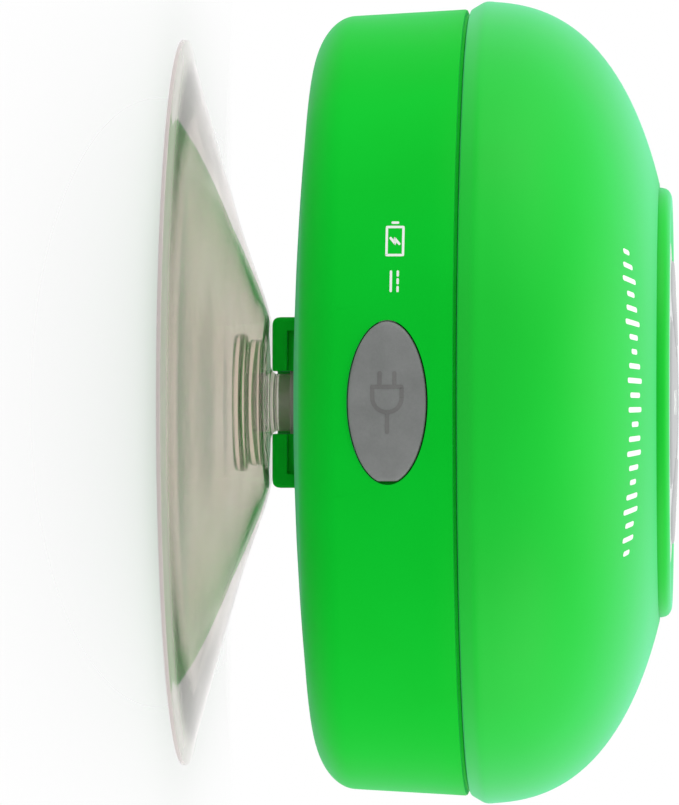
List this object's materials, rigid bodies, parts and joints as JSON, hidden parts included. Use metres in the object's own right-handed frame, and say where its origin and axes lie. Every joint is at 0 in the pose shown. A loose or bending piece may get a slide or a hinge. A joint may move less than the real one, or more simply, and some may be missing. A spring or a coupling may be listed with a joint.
{
  "type": "shower speaker",
  "caption": "Round splash-proof wireless speaker on a clear suction cup, with a domed case, a front ring of keys and sound slots, and a capped charging port.",
  "frame": {"origin": "centre of the suction cup's rim, on the plane it rests on", "axes": "+Z along the axis, from the cup to the control face; -Y out through the charging port; +X towards the free end of the port cap"},
  "size_m": [0.086, 0.086, 0.0531],
  "materials": {
    "green_shell": "soft-touch",
    "clear_vinyl": "clear",
    "grey_rubber": "matte",
    "silver_plastic": "satin",
    "black_rubber": "matte",
    "black_plastic": "matte",
    "white_plastic": "satin",
    "bright_steel": "satin",
    "ferrite": "matte",
    "copper": "satin",
    "pressed_paper": "matte",
    "amber_cloth": "matte",
    "green_board": "satin",
    "silver_foil": "satin",
    "grey_foam": "matte",
    "red_wire": "satin",
    "black_wire": "satin",
    "clear_pipe": "clear"
  },
  "bodies": {
    "case": {"acoustic_mesh": "black_rubber", "amplifier_chip": "black_plastic", "back_shell": "green_shell", "battery_cell": "silver_foil", "battery_lead_black": "black_wire", "battery_lead_red": "red_wire", "battery_pad": "grey_foam", "board_screw_1": "bright_steel", "board_screw_2": "bright_steel", "button_board": "green_board", "button_ribbon": "white_plastic", "call_switch": "black_plastic", "cap_tether": "grey_rubber", "case_screw_1": "bright_steel", "case_screw_2": "bright_steel", "case_screw_3": "bright_steel", "case_screw_4": "bright_steel", "case_seal": "black_rubber", "control_fascia": "silver_plastic", "cup_holder": "green_shell", "driver_frame": "bright_steel", "driver_gasket": "grey_foam", "driver_screw_1": "bright_steel", "driver_screw_2": "bright_steel", "driver_screw_3": "bright_steel", "front_shell": "green_shell", "grille_bezel": "green_shell", "light_pipe": "clear_pipe", "magnet_ring": "ferrite", "main_board": "green_board", "microphone": "bright_steel", "next_switch": "black_plastic", "play_switch": "black_plastic", "power_switch": "black_plastic", "previous_switch": "black_plastic", "ribbon_connector": "white_plastic", "speaker_lead_black": "black_wire", "speaker_lead_red": "red_wire", "spider": "amber_cloth", "status_led": "white_plastic", "surround": "black_rubber", "top_plate": "bright_steel", "usb_socket": "bright_steel", "wireless_module": "bright_steel", "yoke": "bright_steel"},
    "suction_cup": {"suction_cup": "clear_vinyl"},
    "port_cap": {"port_cap": "grey_rubber"},
    "power_key": {"power_key": "grey_rubber", "power_plunger": "white_plastic"},
    "play_key": {"play_key": "grey_rubber", "play_plunger": "white_plastic"},
    "call_key": {"call_key": "grey_rubber", "call_plunger": "white_plastic"},
    "next_key": {"next_key": "grey_rubber", "next_plunger": "white_plastic"},
    "previous_key": {"previous_key": "grey_rubber", "previous_plunger": "white_plastic"},
    "cone": {"cone": "pressed_paper", "voice_coil": "copper", "dust_cap": "pressed_paper"}
  },
  "joints": [
    {"name": "cup_swivel", "type": "hinge", "parent": "case", "child": "suction_cup", "pos_m": [0, 0, 0.0105], "axis": [0, 0, 1], "continuous": true},
    {"name": "port_cap_hinge", "type": "hinge", "parent": "case", "child": "port_cap", "pos_m": [-0.0083, -0.04112, 0.02385], "axis": [0, 0, -1], "range_deg": [0, 100]},
    {"name": "power_key_travel", "type": "slide", "parent": "case", "child": "power_key", "axis": [0, 0, -1], "range_m": [0, 0.0004], "stiffness_N_per_m": 2500},
    {"name": "play_key_travel", "type": "slide", "parent": "case", "child": "play_key", "axis": [0, 0, -1], "range_m": [0, 0.0004], "stiffness_N_per_m": 2500},
    {"name": "call_key_travel", "type": "slide", "parent": "case", "child": "call_key", "axis": [0, 0, -1], "range_m": [0, 0.0004], "stiffness_N_per_m": 2500},
    {"name": "next_key_travel", "type": "slide", "parent": "case", "child": "next_key", "axis": [0, 0, -1], "range_m": [0, 0.0004], "stiffness_N_per_m": 2500},
    {"name": "previous_key_travel", "type": "slide", "parent": "case", "child": "previous_key", "axis": [0, 0, -1], "range_m": [0, 0.0004], "stiffness_N_per_m": 2500},
    {"name": "cone_excursion", "type": "slide", "parent": "case", "child": "cone", "axis": [0, 0, 1], "range_m": [-0.0008, 0.0008], "stiffness_N_per_m": 1500, "deforming": ["surround", "spider"]}
  ]
}
